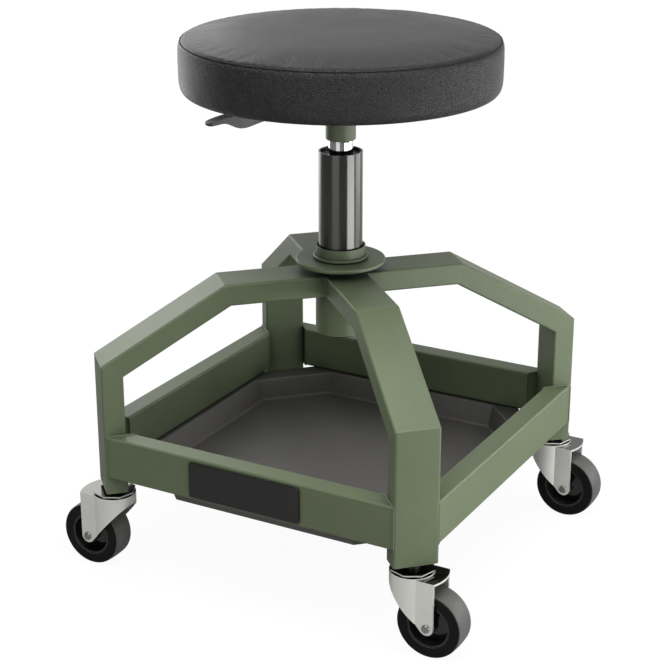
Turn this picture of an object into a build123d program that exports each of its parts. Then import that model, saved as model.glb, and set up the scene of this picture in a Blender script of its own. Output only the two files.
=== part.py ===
# A rolling workshop stool: a round padded seat on a gas lift, a welded frame of four bent
# arms, a square of rails round a moulded parts tray, and four swivel casters.
# Millimetres. The origin is on the floor under the column, +Z is up, and the rail with the
# nameplate faces -Y. An arm, a caster or the lever is made along +X and then turned to place.

import os
from math import asin, atan2, cos, hypot, radians, sin, sqrt, tan

from build123d import *

running_gap = 0.05

# Caster wheel and axle
wheel_radius = 37.5
tyre_width = 30
tyre_edge = 2.6
tyre_crown = 0.5
tyre_depth = 12.5
rim_inset = 0.8
rim_wall = 2.5
wheel_web_rim = 4
wheel_web_boss = 7
wheel_boss_wall = 4.5
wheel_boss_gap = 0.5
axle_radius = 3
axle_head_wall = 1.6
axle_head = 2.4
spacer_wall = 1.5

# Caster fork
caster_trail = 26.5
fork_wall = 2.5
fork_side_gap = 2.5
fork_top_gap = 14
fork_crown_bulge = 4.5
fork_back_bulge = 5
fork_apron = 8.5
fork_boss_wall = 5
fork_lip = 1.9

# Caster raceway and stem
swivel_ball_radius = 1.45
swivel_ball_inset = 7.5
swivel_balls = 14
cap_proud = 0.2
cap_thick = 1.5
cap_turn = 5
stem_radius = 5
stem_head_wall = 4
stem_head = 4.5
stem_collar_wall = 4
stem_collar = 5.5
stem_length = 20
socket_block_cover = 4
corner_names = ("back_right", "back_left", "front_left", "front_right")
caster_turns = {"front_left": 180, "front_right": 0, "back_right": 0, "back_left": 180}

# Rectangular frame tube
tube_width = 50
tube_depth = 25
tube_wall = 2
tube_corner = 2.5

# Arms: level bar, sloping brace, upright post
post_face_radius = 283.2
bar_bend_radius = 140.5
brace_slope = 30
arm_above_rail = 166.8

# Rails between the posts
rail_above_foot = 20.5
rail_inset = 1.75
rail_names = ("front", "right", "back", "left")

# Nameplate on the front rail
plate_width = 139
plate_margin = 4.25
plate_thick = 3
plate_corner = 3
plate_edge = 0.8

# Moulded tray under the rails
tray_depth = 25
tray_wall = 3
tray_floor_thick = 3
tray_draft = 11
tray_floor_chamfer = 62
tray_foot_edge = 4
tray_under_edge = 2.5
tray_rim_gap = 5.2
tray_rim_chamfer = 72.5
tray_rim_edge = 2.4
tray_lip_width = 18
tray_lip_thick = 3
tray_lip_chamfer = 70
tray_screw_radius = 2
tray_screw_length = 9
tray_screw_head_wall = 2
tray_screw_head = 2.2
tray_screw_spread_share = 0.7

# Gas lift: outer tube, bearing, rod and piston
lift_radius = 25
lift_wall = 2
lift_taper = 1.43
lift_above_hub = 109.2
lift_below_hub = 3.8
lift_base_thick = 3
lift_stroke = 120
sleeve_length = 88
sleeve_recess = 3
rod_radius = 5
rod_step = 2
rod_below = 4.5
piston_gap = 5
piston_length = 12
washer_wall = 7
washer_thick = 1.5
bearing_ball_radius = 1.5
bearing_balls = 12
bump_wall = 4.5
bump_length = 14.5
bump_gap = 0.35
clip_wall = 5
clip_thick = 1.5

# Hub tube and the flange round it
hub_wall = 3.4
hub_skirt = 49
hub_collar = 15.1
hub_relief = 1.6
hub_relief_depth = 11
hub_land = 2.4
flange_width = 22.9
flange_thick = 5
flange_above_arm = 8.5
flange_edge_share = 0.4

# Spindle and release button
spindle_radius = 14
spindle_wall = 2
spindle_guide = 20
spindle_show = 13.3
spindle_taper_lead = 1.9
spindle_proud = 1.8
spindle_head = 26
button_radius = 4
button_length = 28
button_proud = 7
button_edge = 1

# Seat socket, lever bracket and seat plate
socket_wall = 2.9
socket_length = 34.3
socket_edge = 1
socket_above_web = 2
bracket_gap = 3.1
bracket_wall = 2.5
bracket_back = 30
bracket_front = 40
bracket_headroom = 2.2
seat_plate_half = 75
seat_plate_thick = 3
seat_plate_corner = 15
screw_radius = 3
screw_end_cover = 2
screw_head_wall = 3
screw_head = 2.8

# Release lever and its grip
lever_angle = 241
lever_width = 18
lever_thick = 4
lever_free = 0.35
lever_pivot = 24
lever_pivot_rise = 3.5
lever_pin_radius = 3
lever_boss_wall = 3
lever_boss_gap = 0.5
lever_inner = 8
lever_knee_gap = 2
lever_drop = 7.35
lever_bite = 38
grip_inner = 92
grip_length = 76.7
grip_cheek = 0.5
grip_height = 14.4
grip_under = 5.4
grip_tip_share = 0.65
grip_upper_shares = [(0, 0.79), (0.36, 0.92), (0.6, 0.96), (0.8, 0.85), (0.92, 0.73), (0.985, 0.64)]
grip_nose_share = (1, 0.53)
grip_lower_shares = [(0.985, 0.42), (0.86, 0.45), (0.74, 0.48), (0.62, 0.2), (0.51, 0.01), (0.36, 0.06),
                     (0, 0.27)]

# Seat board, cushion and cover
seam_radius = 174.5
seam_height = 57.6
seat_crown = 10.9
side_bulge = 3.5
side_height = 31.5
lower_draw = 1.5
lower_height = 6.5
foot_draw = 8.5
cover_thick = 1.2
hem_width = 16
board_thick = 12
board_gap = 2

# Caster places, from the floor up
wheel_hub_radius = wheel_radius - tyre_depth
wheel_rim_half = tyre_width / 2 - rim_inset
wheel_recess_radius = wheel_hub_radius - rim_wall
spacer_radius = axle_radius + spacer_wall
fork_half = tyre_width / 2 + fork_side_gap + fork_wall
fork_back = caster_trail + axle_radius + fork_boss_wall
fork_boss_radius = axle_radius + fork_boss_wall
fork_crown_radius = fork_half + fork_crown_bulge
fork_top_z = 2 * wheel_radius + fork_top_gap + fork_wall
fork_apron_z = fork_top_z - fork_apron
swivel_ball_circle = fork_crown_radius - swivel_ball_inset
cap_z = fork_top_z + 2 * (swivel_ball_radius + running_gap)
collar_z = cap_z + cap_thick
post_bottom_z = collar_z + stem_collar

# Frame places
arm_angles = {name: 360 * (k + 0.5) / len(corner_names) for k, name in enumerate(corner_names)}
rail_angles = {name: 360 * k / len(rail_names) for k, name in enumerate(rail_names)}
post_radius = post_face_radius - tube_depth / 2
rail_face = (post_face_radius - rail_inset + tube_width / 2) / sqrt(2)
rail_centre = rail_face - tube_depth / 2
rail_bottom_z = post_bottom_z + rail_above_foot
rail_centre_z = rail_bottom_z + tube_width / 2
rail_top_z = rail_bottom_z + tube_width
arm_top_z = rail_top_z + arm_above_rail
bar_z = arm_top_z - tube_depth / 2
post_bend_z = arm_top_z - (post_face_radius - bar_bend_radius) * tan(radians(brace_slope))
tray_rim_half = rail_face - tube_depth - tray_rim_gap
tray_floor_half = tray_rim_half - tray_draft
tray_floor_z = rail_bottom_z - tray_depth
tray_lip_z = rail_bottom_z - tray_lip_thick

# Lift places, from the hub down to the rod's end
hub_radius = lift_radius + hub_wall
hub_bottom_z = bar_z - tube_depth / 2 - hub_skirt
flange_radius = hub_radius + flange_width
flange_bottom_z = arm_top_z + flange_above_arm
hub_top_z = flange_bottom_z + flange_thick + hub_collar
hub_relief_z = hub_top_z - hub_relief_depth
lift_taper_z = hub_relief_z - hub_land
lift_top_z = hub_top_z + lift_above_hub
lift_bottom_z = hub_bottom_z - lift_below_hub
washer_radius = rod_radius + washer_wall
washer_z = lift_bottom_z + lift_base_thick
ball_z = washer_z + washer_thick + bearing_ball_radius + running_gap
upper_washer_z = ball_z + bearing_ball_radius + running_gap
bump_z = upper_washer_z + washer_thick + running_gap
rod_pin_radius = rod_radius - rod_step
clip_radius = rod_pin_radius + clip_wall
clip_z = lift_bottom_z - clip_thick - running_gap

# Spindle and seat places, from the bump stop up
spindle_bottom_z = bump_z + bump_length + bump_gap
spindle_bore = spindle_radius - spindle_wall
piston_z = spindle_bottom_z + spindle_guide + lift_stroke + piston_gap
socket_radius = spindle_radius + socket_wall
socket_bottom_z = lift_top_z + spindle_show
socket_top_z = socket_bottom_z + socket_length
spindle_taper_z = socket_bottom_z - spindle_taper_lead
spindle_top_z = socket_top_z + spindle_proud
button_top_z = spindle_top_z + button_proud
bracket_half = socket_radius + bracket_gap
bracket_z = socket_top_z - socket_above_web - bracket_wall
lever_boss_radius = lever_pin_radius + lever_boss_wall
lever_pivot_z = button_top_z + lever_pivot_rise
lever_inner_z = button_top_z + lever_free
lever_outer_z = lever_inner_z - lever_drop
grip_base_z = lever_outer_z - grip_under
seat_plate_z = lever_pivot_z + lever_boss_radius + bracket_headroom
board_z = seat_plate_z + seat_plate_thick
seat_bottom_z = board_z - cover_thick
seam_z = seat_bottom_z + seam_height
seat_top_z = seam_z + seat_crown
foot_radius = seam_radius - foot_draw
board_radius = foot_radius - board_gap
flat = (Align.CENTER, Align.CENTER, Align.MIN)


def disc(radius, bottom, top):
    return Pos(0, 0, bottom) * Cylinder(radius, top - bottom, align=flat)


def ring(outer, inner, bottom, top):
    return disc(outer, bottom, top) - disc(inner, bottom, top)


def turned(*points):
    """A solid of revolution about Z from (radius, height) points."""
    return revolve(Plane.XZ * make_face(Polyline(*points, close=True)), Axis.Z)


def spread_balls(radius, circle, count, height):
    step = 360 / count
    ball = Pos(circle, 0, height) * Sphere(radius)
    return [Rot(0, 0, k * step) * ball for k in range(count)]


def save(shape, name):
    solids = shape if isinstance(shape, list) else [shape]
    export_step(Compound(solids) if len(solids) > 1 else solids[0], f"parts/{name}.step")


def tube_section():
    outside = RectangleRounded(tube_depth, tube_width, tube_corner)
    return outside - Rectangle(tube_depth - 2 * tube_wall, tube_width - 2 * tube_wall)


def tube_between(start, end, start_cut, end_cut):
    """Arm tube in the XZ plane between two centre points, cut by the two mitre planes."""
    run = Vector(*end) - Vector(*start)
    reach = run.length + 2 * tube_width
    along = Plane(origin=Vector(*start) - run.normalized() * tube_width,
                  x_dir=Vector(0, 1, 0).cross(run), z_dir=run)
    bar = extrude(along * tube_section(), reach)
    bar = split(bar, bisect_by=Plane(origin=start, z_dir=start_cut), keep=Keep.TOP)
    return split(bar, bisect_by=Plane(origin=end, z_dir=end_cut), keep=Keep.BOTTOM)


def arm_points():
    """Centre points of the arm: at the hub, at both bends and at the foot."""
    half = tube_depth / 2
    turn = radians(brace_slope)
    low_turn = radians(90 - brace_slope)
    first = (bar_bend_radius - half * tan(turn / 2), 0, bar_z)
    second = (post_face_radius - half, 0, post_bend_z - half * tan(low_turn / 2))
    return (0, 0, bar_z), first, second, (post_radius, 0, post_bottom_z)


def arm_tubes():
    hub_point, first, second, foot = arm_points()
    slope = radians(brace_slope)
    mid_first = (cos(slope / 2), 0, -sin(slope / 2))
    lean = (slope + radians(90)) / 2
    mid_second = (cos(lean), 0, -sin(lean))
    level = tube_between(hub_point, first, (1, 0, 0), mid_first)
    wedge = Polygon((0, 0), (bar_bend_radius, -bar_bend_radius), (bar_bend_radius, bar_bend_radius),
                    align=None)
    level = level & Pos(0, 0, bar_z - tube_depth) * extrude(wedge, 2 * tube_depth)
    level = level - disc(hub_radius, bar_z - tube_depth, bar_z + tube_depth)
    brace = tube_between(first, second, mid_first, mid_second)
    post = tube_between(second, foot, mid_second, (0, 0, -1))
    return {"top_bar": level, "brace": brace, "post": post}


def rail():
    """Front rail, its ends cut to lie flat on the side faces of the two posts."""
    reach = 2 * rail_face
    outside = RectangleRounded(tube_depth, tube_width, tube_corner)
    inside = Rectangle(tube_depth - 2 * tube_wall, tube_width - 2 * tube_wall)
    section = Plane(origin=(-rail_face, -rail_centre, rail_centre_z), x_dir=(0, 1, 0), z_dir=(1, 0, 0))
    bar = trim_rail(extrude(section * outside, reach), tube_width / 2)
    bar -= trim_rail(extrude(section * inside, reach), tube_width / 2 + tube_wall)
    for place in tray_screw_places():
        bar -= place * disc(tray_screw_radius, rail_bottom_z - tube_wall, rail_bottom_z + 2 * tube_wall)
    return bar


def trim_rail(bar, back):
    """Cut both ends on the planes that lie back from the arm's middle plane."""
    shift = back * sqrt(2)
    for side in (1, -1):
        cut = Plane(origin=(-side * shift, 0, 0), z_dir=(side, 1, 0))
        bar = split(bar, bisect_by=cut, keep=Keep.BOTTOM)
    return bar


def tray_screw_places():
    """Middle of the strip where the tray's lip lies under the front rail."""
    line = (tray_rim_half + tray_lip_width + rail_face - tube_depth) / 2
    spread = (tray_rim_half - tray_rim_chamfer) * tray_screw_spread_share
    return [Pos(x, -line, 0) for x in (-spread, spread)]


def octagon(half, chamfer, grow=0):
    """Square with cut corners, its sides moved out by grow."""
    side = half + grow
    cut = chamfer + grow * (2 - sqrt(2))
    near = side - cut
    return Polygon((near, -side), (side, -near), (side, near), (near, side), (-near, side),
                   (-side, near), (-side, -near), (-near, -side), align=None)


def tray():
    under_z = tray_floor_z - tray_floor_thick
    pan = loft([Pos(0, 0, under_z) * octagon(tray_floor_half, tray_floor_chamfer, tray_wall),
                Pos(0, 0, rail_bottom_z) * octagon(tray_rim_half, tray_rim_chamfer, tray_wall)], ruled=True)
    pan = fillet(pan.faces().sort_by(Axis.Z)[0].edges(), tray_under_edge)
    lip = octagon(tray_rim_half + tray_lip_width, tray_lip_chamfer)
    pan += Pos(0, 0, tray_lip_z) * extrude(lip, tray_lip_thick)
    hollow = loft([Pos(0, 0, tray_floor_z) * octagon(tray_floor_half, tray_floor_chamfer),
                   Pos(0, 0, rail_bottom_z) * octagon(tray_rim_half, tray_rim_chamfer)], ruled=True)
    hollow = fillet(hollow.faces().sort_by(Axis.Z)[0].edges(), tray_foot_edge)
    pan -= hollow
    rim = pan.faces().filter_by(Axis.Z).sort_by(Axis.Z)[-1].inner_wires()[0].edges()
    pan = fillet(rim, tray_rim_edge)
    for angle in rail_angles.values():
        for place in tray_screw_places():
            pan -= Rot(0, 0, angle) * place * disc(tray_screw_radius, under_z, rail_bottom_z)
    return pan


def tray_screws():
    head_radius = tray_screw_radius + tray_screw_head_wall
    screw = disc(tray_screw_radius, tray_lip_z - tray_screw_head / 2, tray_lip_z + tray_screw_length)
    screw += disc(head_radius, tray_lip_z - tray_screw_head, tray_lip_z)
    return [Rot(0, 0, angle) * place * screw
            for angle in rail_angles.values() for place in tray_screw_places()]


def nameplate():
    back = Plane(origin=(0, -rail_face, rail_centre_z), x_dir=(1, 0, 0), z_dir=(0, -1, 0))
    height = tube_width - 2 * plate_margin
    plate = extrude(back * RectangleRounded(plate_width, height, plate_corner), plate_thick)
    return fillet(plate.faces().sort_by(Axis.Y)[0].edges(), plate_edge)


def cone_drop(height):
    """How much the lift's taper has narrowed it, this far below the start of the taper."""
    return height * tan(radians(lift_taper))


def hub_tube():
    bore_low = lift_radius - cone_drop(lift_taper_z - hub_bottom_z)
    relief_radius = lift_radius + hub_relief
    return turned((bore_low, hub_bottom_z), (hub_radius, hub_bottom_z), (hub_radius, hub_top_z),
                  (relief_radius, hub_top_z), (relief_radius, hub_relief_z),
                  (lift_radius, hub_relief_z), (lift_radius, lift_taper_z))


def flange_plate():
    plate = ring(flange_radius, hub_radius, flange_bottom_z, flange_bottom_z + flange_thick)
    rims = plate.edges().filter_by(GeomType.CIRCLE).sort_by(lambda e: e.radius)[-2:]
    return fillet(rims, flange_thick * flange_edge_share)


def lift_tube():
    low_radius = lift_radius - cone_drop(lift_taper_z - lift_bottom_z)
    hole = rod_radius + running_gap
    return turned((hole, lift_bottom_z), (low_radius - lift_wall, lift_bottom_z),
                  (low_radius, lift_bottom_z + lift_wall), (lift_radius, lift_taper_z),
                  (lift_radius, lift_top_z), (lift_radius - lift_wall, lift_top_z),
                  (lift_radius - lift_wall, lift_taper_z), (low_radius - lift_wall, washer_z),
                  (hole, washer_z))


def guide_sleeve():
    top = lift_top_z - sleeve_recess
    return ring(lift_radius - lift_wall, spindle_radius + running_gap, top - sleeve_length, top)


def thrust_bearing():
    inner = rod_radius + running_gap
    circle = (washer_radius + inner) / 2
    washers = [ring(washer_radius, inner, z, z + washer_thick) for z in (washer_z, upper_washer_z)]
    return washers + spread_balls(bearing_ball_radius, circle, bearing_balls, ball_z)


def piston_rod():
    rod = disc(rod_radius, lift_bottom_z - rod_below, piston_z)
    rod += disc(rod_pin_radius, piston_z, piston_z + piston_length)
    return rod - ring(rod_radius, rod_pin_radius, clip_z, clip_z + clip_thick)


def retaining_clip():
    clip = ring(clip_radius, rod_pin_radius, clip_z, clip_z + clip_thick)
    mouth = Box(clip_radius, 2 * rod_pin_radius, clip_thick, align=(Align.MIN, Align.CENTER, Align.MIN))
    return clip - Pos(0, 0, clip_z) * mouth


def spindle():
    head_z = spindle_top_z - spindle_head
    guide_z = spindle_bottom_z + spindle_guide
    top_radius = spindle_top_radius()
    rod_hole = rod_radius + running_gap
    pin_hole = button_radius + running_gap
    return turned((rod_hole, spindle_bottom_z), (spindle_radius, spindle_bottom_z),
                  (spindle_radius, spindle_taper_z), (top_radius, spindle_top_z),
                  (pin_hole, spindle_top_z), (pin_hole, head_z), (spindle_bore, head_z),
                  (spindle_bore, guide_z), (rod_hole, guide_z))


def spindle_top_radius():
    return spindle_radius - (spindle_top_z - spindle_taper_z) * tan(radians(lift_taper))


def release_button():
    button = disc(button_radius, button_top_z - button_length, button_top_z)
    return fillet(button.edges().sort_by(Axis.Z)[-1], button_edge)


def seat_outline(inset):
    """Half section of the cushion: crowned top, sides drawn in at the seam, rolled lower edge."""
    top = seat_top_z - inset
    edge = (seam_radius - inset, seam_z - inset)
    side = (seam_radius + side_bulge - inset, seat_bottom_z + side_height)
    low = (seam_radius - lower_draw - inset, seat_bottom_z + lower_height)
    foot = (foot_radius, seat_bottom_z + inset)
    drop = top - edge[1]
    crown_radius = (edge[0] ** 2 + drop ** 2) / (2 * drop)
    half_way = edge[0] / 2
    mid = (half_way, top - crown_radius + sqrt(crown_radius ** 2 - half_way ** 2))
    outline = [ThreePointArc((0, top), mid, edge), ThreePointArc(edge, side, low),
               TangentArc(foot, low, tangent=(1, 0)), Line(foot, (0, foot[1])),
               Line((0, foot[1]), (0, top))]
    return revolve(Plane.XZ * make_face(outline), Axis.Z)


def seat_board():
    board = disc(board_radius, board_z, board_z + board_thick)
    return board - [place * disc(screw_radius, board_z, board_z + screw_depth())
                    for place in screw_places()]


def screw_depth():
    return board_thick - screw_end_cover


def seat_foam():
    return seat_outline(cover_thick) - disc(board_radius, board_z, board_z + board_thick)


def seat_cover():
    shell = seat_outline(0) - seat_outline(cover_thick)
    return shell - disc(foot_radius - hem_width, seat_bottom_z, board_z)


def screw_places():
    spread = seat_plate_half - seat_plate_corner
    return [Rot(0, 0, lever_angle) * Pos(x, y, 0) for x in (-spread, spread) for y in (-spread, spread)]


def seat_plate():
    side = 2 * seat_plate_half
    plate = Pos(0, 0, seat_plate_z) * extrude(RectangleRounded(side, side, seat_plate_corner),
                                              seat_plate_thick)
    plate = Rot(0, 0, lever_angle) * plate
    return plate - [place * disc(screw_radius, seat_plate_z, board_z) for place in screw_places()]


def plate_screws():
    head = disc(screw_radius + screw_head_wall, seat_plate_z - screw_head, seat_plate_z)
    screw = disc(screw_radius, seat_plate_z - screw_head / 2, board_z + screw_depth())
    screw += fillet(head.edges().sort_by(Axis.Z)[0], screw_head / 2)
    return [place * screw for place in screw_places()]


def seat_socket():
    low = spindle_radius - taper_at(socket_bottom_z)
    high = spindle_radius - taper_at(socket_top_z)
    return turned((low, socket_bottom_z), (socket_radius - socket_edge, socket_bottom_z),
                  (socket_radius, socket_bottom_z + socket_edge), (socket_radius, socket_top_z),
                  (high, socket_top_z))


def taper_at(height):
    return (height - spindle_taper_z) * tan(radians(lift_taper))


def lever_bracket():
    """Folded channel under the seat plate: two cheeks and a web round the socket."""
    length = bracket_back + bracket_front
    height = seat_plate_z - bracket_z
    corner = (Align.MIN, Align.CENTER, Align.MIN)
    outside = Box(length, 2 * (bracket_half + bracket_wall), height, align=corner)
    inside = Box(length, 2 * bracket_half, height, align=corner)
    channel = Pos(-bracket_back, 0, bracket_z) * (outside - Pos(0, 0, bracket_wall) * inside)
    channel -= disc(socket_radius, bracket_z, bracket_z + bracket_wall)
    return Rot(0, 0, lever_angle) * (channel - lever_axle(lever_pin_radius, bracket_half + bracket_wall))


def lever_axle(radius, half):
    return Pos(lever_pivot, 0, lever_pivot_z) * Rot(90, 0, 0) * Cylinder(radius, 2 * half)


def lever_strip():
    """Side view of the flat bar: over the button, past the pivot, down into the grip."""
    knee = bracket_front + lever_knee_gap
    foot = grip_inner + lever_thick / 2
    under = [(-lever_inner, lever_inner_z), (knee, lever_inner_z), (foot, lever_outer_z),
             (grip_inner + lever_bite, lever_outer_z)]
    over = [(x, z + lever_thick) for x, z in reversed(under)]
    return strip_of(under + over, lever_width)


def strip_of(points, width):
    face = Plane.XZ * make_face(Polyline(*points, close=True))
    return extrude(face, width / 2, both=True)


def lever():
    bar = lever_strip() + lever_axle(lever_boss_radius, bracket_half - lever_boss_gap)
    return Rot(0, 0, lever_angle) * (bar - lever_axle(lever_pin_radius + running_gap, bracket_half))


def lever_pin():
    return Rot(0, 0, lever_angle) * lever_axle(lever_pin_radius, bracket_half + bracket_wall)


def lever_grip():
    """Moulded grip: a thin narrow tip, a finger dip and a fuller heel under the seat's edge."""
    upper = [grip_point(*share) for share in grip_upper_shares]
    lower = [grip_point(*share) for share in grip_lower_shares]
    nose = ThreePointArc(upper[-1], grip_point(*grip_nose_share), lower[0])
    side = make_face([Spline(*upper), nose, Spline(*lower), Line(lower[-1], upper[0])])
    half = lever_width / 2 + grip_cheek
    grip = extrude(Plane.XZ * side, half, both=True)
    tip = half * grip_tip_share
    straight = grip_length - tip
    outline = [(0, half), (lever_bite, half), (straight, tip)]
    outline += [(x, -y) for x, y in reversed(outline)]
    plan = Pos(grip_inner, 0) * make_face(Polyline(*outline, close=True))
    plan += Pos(grip_inner + straight, 0) * Circle(tip)
    grip &= Pos(0, 0, grip_base_z) * extrude(plan, grip_height)
    grip -= lever_strip()
    return Rot(0, 0, lever_angle) * grip


def grip_point(along, up):
    return grip_inner + along * grip_length, grip_base_z + up * grip_height


def trailing(shape, name):
    """Place one caster's piece under its post, turned to the way the wheel trails."""
    angle = radians(arm_angles[name])
    place = Pos(post_radius * cos(angle), post_radius * sin(angle), 0)
    return place * Rot(0, 0, caster_turns[name]) * shape


def cross_disc(radius, half):
    """Cylinder across the wheel, on the axle's line."""
    return Pos(caster_trail, 0, wheel_radius) * Rot(90, 0, 0) * Cylinder(radius, 2 * half)


def wheel_turned(edges):
    return Pos(caster_trail, 0, wheel_radius) * Rot(90, 0, 0) * revolve(Plane.XZ * make_face(edges), Axis.Z)


def tyre():
    half = tyre_width / 2
    side = wheel_radius - tyre_crown
    edges = [Line((wheel_hub_radius, -half), (side - tyre_edge, -half)),
             ThreePointArc((side - tyre_edge, -half), corner_middle(side, -half), (side, tyre_edge - half)),
             ThreePointArc((side, tyre_edge - half), (wheel_radius, 0), (side, half - tyre_edge)),
             ThreePointArc((side, half - tyre_edge), corner_middle(side, half), (side - tyre_edge, half)),
             Line((side - tyre_edge, half), (wheel_hub_radius, half)),
             Line((wheel_hub_radius, half), (wheel_hub_radius, -half))]
    return wheel_turned(edges)


def corner_middle(radius, half):
    """Middle point of the rounded corner between the tyre's side and its tread."""
    inward = tyre_edge * (1 - sqrt(0.5))
    return radius - inward, half - inward if half > 0 else half + inward


def wheel_hub():
    boss = fork_half - fork_wall - wheel_boss_gap
    bore = spacer_radius + running_gap
    boss_radius = spacer_radius + wheel_boss_wall
    right = [(bore, boss), (boss_radius, boss), (boss_radius, wheel_web_boss),
             (wheel_recess_radius, wheel_web_rim), (wheel_recess_radius, wheel_rim_half),
             (wheel_hub_radius, wheel_rim_half)]
    left = [(radius, -across) for radius, across in reversed(right)]
    return wheel_turned(Polyline(*right, *left, close=True))


def axle():
    outside = fork_half + axle_head
    rivet = cross_disc(axle_radius, fork_half)
    for side in (1, -1):
        head = cross_disc(axle_radius + axle_head_wall, axle_head / 2)
        head = fillet(head.edges().sort_by(Axis.Y)[-1 if side > 0 else 0], axle_head / 2)
        rivet += Pos(0, side * (outside - axle_head / 2), 0) * head
    spacer = cross_disc(spacer_radius, fork_half - fork_wall) - cross_disc(axle_radius, fork_half)
    return [rivet, spacer]


def fork_plan(inset):
    """Plan of the pressed fork: round crown over the stem, two straight sides to the wheel."""
    plan = Circle(fork_crown_radius - inset)
    return plan + Pos(fork_back / 2, 0) * Rectangle(fork_back, 2 * (fork_half - inset))


def fork_side():
    """Side view of a leg: a slanted front edge running into the round boss at the axle."""
    run = caster_trail + fork_crown_radius
    fall = fork_apron_z - wheel_radius
    reach = hypot(run, fall)
    slant = atan2(-fall, run) - asin(fork_boss_radius / reach)
    along = sqrt(reach ** 2 - fork_boss_radius ** 2)
    touch = (along * cos(slant) - fork_crown_radius, fork_apron_z + along * sin(slant))
    side = Polygon((-fork_crown_radius, fork_top_z), (-fork_crown_radius, fork_apron_z), touch,
                   (caster_trail, wheel_radius), (fork_back, wheel_radius), (fork_back, fork_top_z),
                   align=None)
    return side + Pos(caster_trail, wheel_radius) * Circle(fork_boss_radius)


def fork():
    plate_z = fork_top_z - fork_wall
    cup = extrude(fork_plan(0), fork_top_z)
    hollow = extrude(fork_plan(fork_wall), plate_z)
    hollow += Pos(fork_back, 0, 0) * Box(2 * fork_wall, 2 * (fork_half - fork_wall), plate_z, align=flat)
    legs = (cup - hollow) & extrude(Plane.XZ * fork_side(), fork_crown_radius, both=True)
    left = (fork_back, -fork_half)
    right = (fork_back, fork_half)
    edge = [ThreePointArc(left, (fork_back + fork_back_bulge, 0), right), Line(right, left)]
    body = legs + Pos(0, 0, plate_z) * extrude(make_face(edge), fork_wall)
    lip_top = fork_top_z + swivel_ball_radius
    body += ring(fork_crown_radius, fork_crown_radius - fork_lip, fork_top_z, lip_top)
    body -= disc(stem_radius + running_gap, plate_z, fork_top_z)
    return body - cross_disc(axle_radius, fork_half)


def caster_stem():
    head_top = fork_top_z - fork_wall - 2 * running_gap
    stem = disc(stem_radius, head_top - stem_head, post_bottom_z + stem_length)
    head = disc(stem_radius + stem_head_wall, head_top - stem_head, head_top)
    stem += fillet(head.edges().sort_by(Axis.Z)[0], stem_head / 2)
    return stem + disc(stem_radius + stem_collar_wall, collar_z, post_bottom_z)


def raceway_cap():
    cap = extrude(RegularPolygon(fork_crown_radius + cap_proud, side_count=8, rotation=cap_turn), cap_thick)
    return Pos(0, 0, cap_z) * cap - disc(stem_radius, cap_z, collar_z)


def caster_socket():
    """Block welded in the end of a post, bored for the caster's stem."""
    height = stem_length + socket_block_cover
    block = Box(tube_depth - 2 * tube_wall, tube_width - 2 * tube_wall, height, align=flat)
    return Pos(0, 0, post_bottom_z) * block - disc(stem_radius, post_bottom_z, post_bottom_z + height)


def save_frame():
    tubes = arm_tubes()
    for name, angle in arm_angles.items():
        for piece, shape in tubes.items():
            save(Rot(0, 0, angle) * shape, f"{piece}_{name}")
    for name, angle in rail_angles.items():
        save(Rot(0, 0, angle) * rail(), f"rail_{name}")
    save(hub_tube(), "hub_tube")
    save(flange_plate(), "flange_plate")
    save(tray(), "tray")
    save(tray_screws(), "tray_screws")
    save(nameplate(), "nameplate")
    save([Rot(0, 0, angle) * Pos(post_radius, 0, 0) * caster_socket() for angle in arm_angles.values()],
         "caster_sockets")


def save_casters():
    for name in arm_angles:
        save(trailing(fork(), name), f"fork_{name}")
        save([trailing(piece, name) for piece in axle()], f"axle_{name}")
        save(trailing(wheel_hub(), name), f"wheel_hub_{name}")
        save(trailing(tyre(), name), f"tyre_{name}")
    save([trailing(caster_stem(), name) for name in arm_angles], "caster_stems")
    save([trailing(raceway_cap(), name) for name in arm_angles], "raceway_caps")
    balls = spread_balls(swivel_ball_radius, swivel_ball_circle, swivel_balls,
                         fork_top_z + running_gap + swivel_ball_radius)
    save([trailing(ball, name) for name in arm_angles for ball in balls], "swivel_balls")


def save_lift():
    save(lift_tube(), "lift_tube")
    save(guide_sleeve(), "guide_sleeve")
    save(thrust_bearing(), "thrust_bearing")
    save(piston_rod(), "piston_rod")
    save(ring(spindle_bore - running_gap, rod_pin_radius, piston_z, piston_z + piston_length), "piston")
    save(retaining_clip(), "retaining_clip")
    save(ring(rod_radius + bump_wall, rod_radius, bump_z, bump_z + bump_length), "bump_stop")
    save(spindle(), "spindle")
    save(release_button(), "release_button")


def save_seat():
    save(seat_cover(), "seat_cover")
    save(seat_foam(), "seat_foam")
    save(seat_board(), "seat_board")
    save(seat_plate(), "seat_plate")
    save(plate_screws(), "plate_screws")
    save(seat_socket(), "seat_socket")
    save(lever_bracket(), "lever_bracket")
    save(lever_pin(), "lever_pin")
    save(lever(), "lever")
    save(lever_grip(), "lever_grip")


os.makedirs("parts", exist_ok=True)
save_frame()
save_casters()
save_lift()
save_seat()
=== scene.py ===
# A rolling workshop stool: padded vinyl seat on a gas lift, welded olive frame with a parts
# tray between its rails, and four swivel casters. Metres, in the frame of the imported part.

from math import cos, pi, radians, sin

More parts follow.
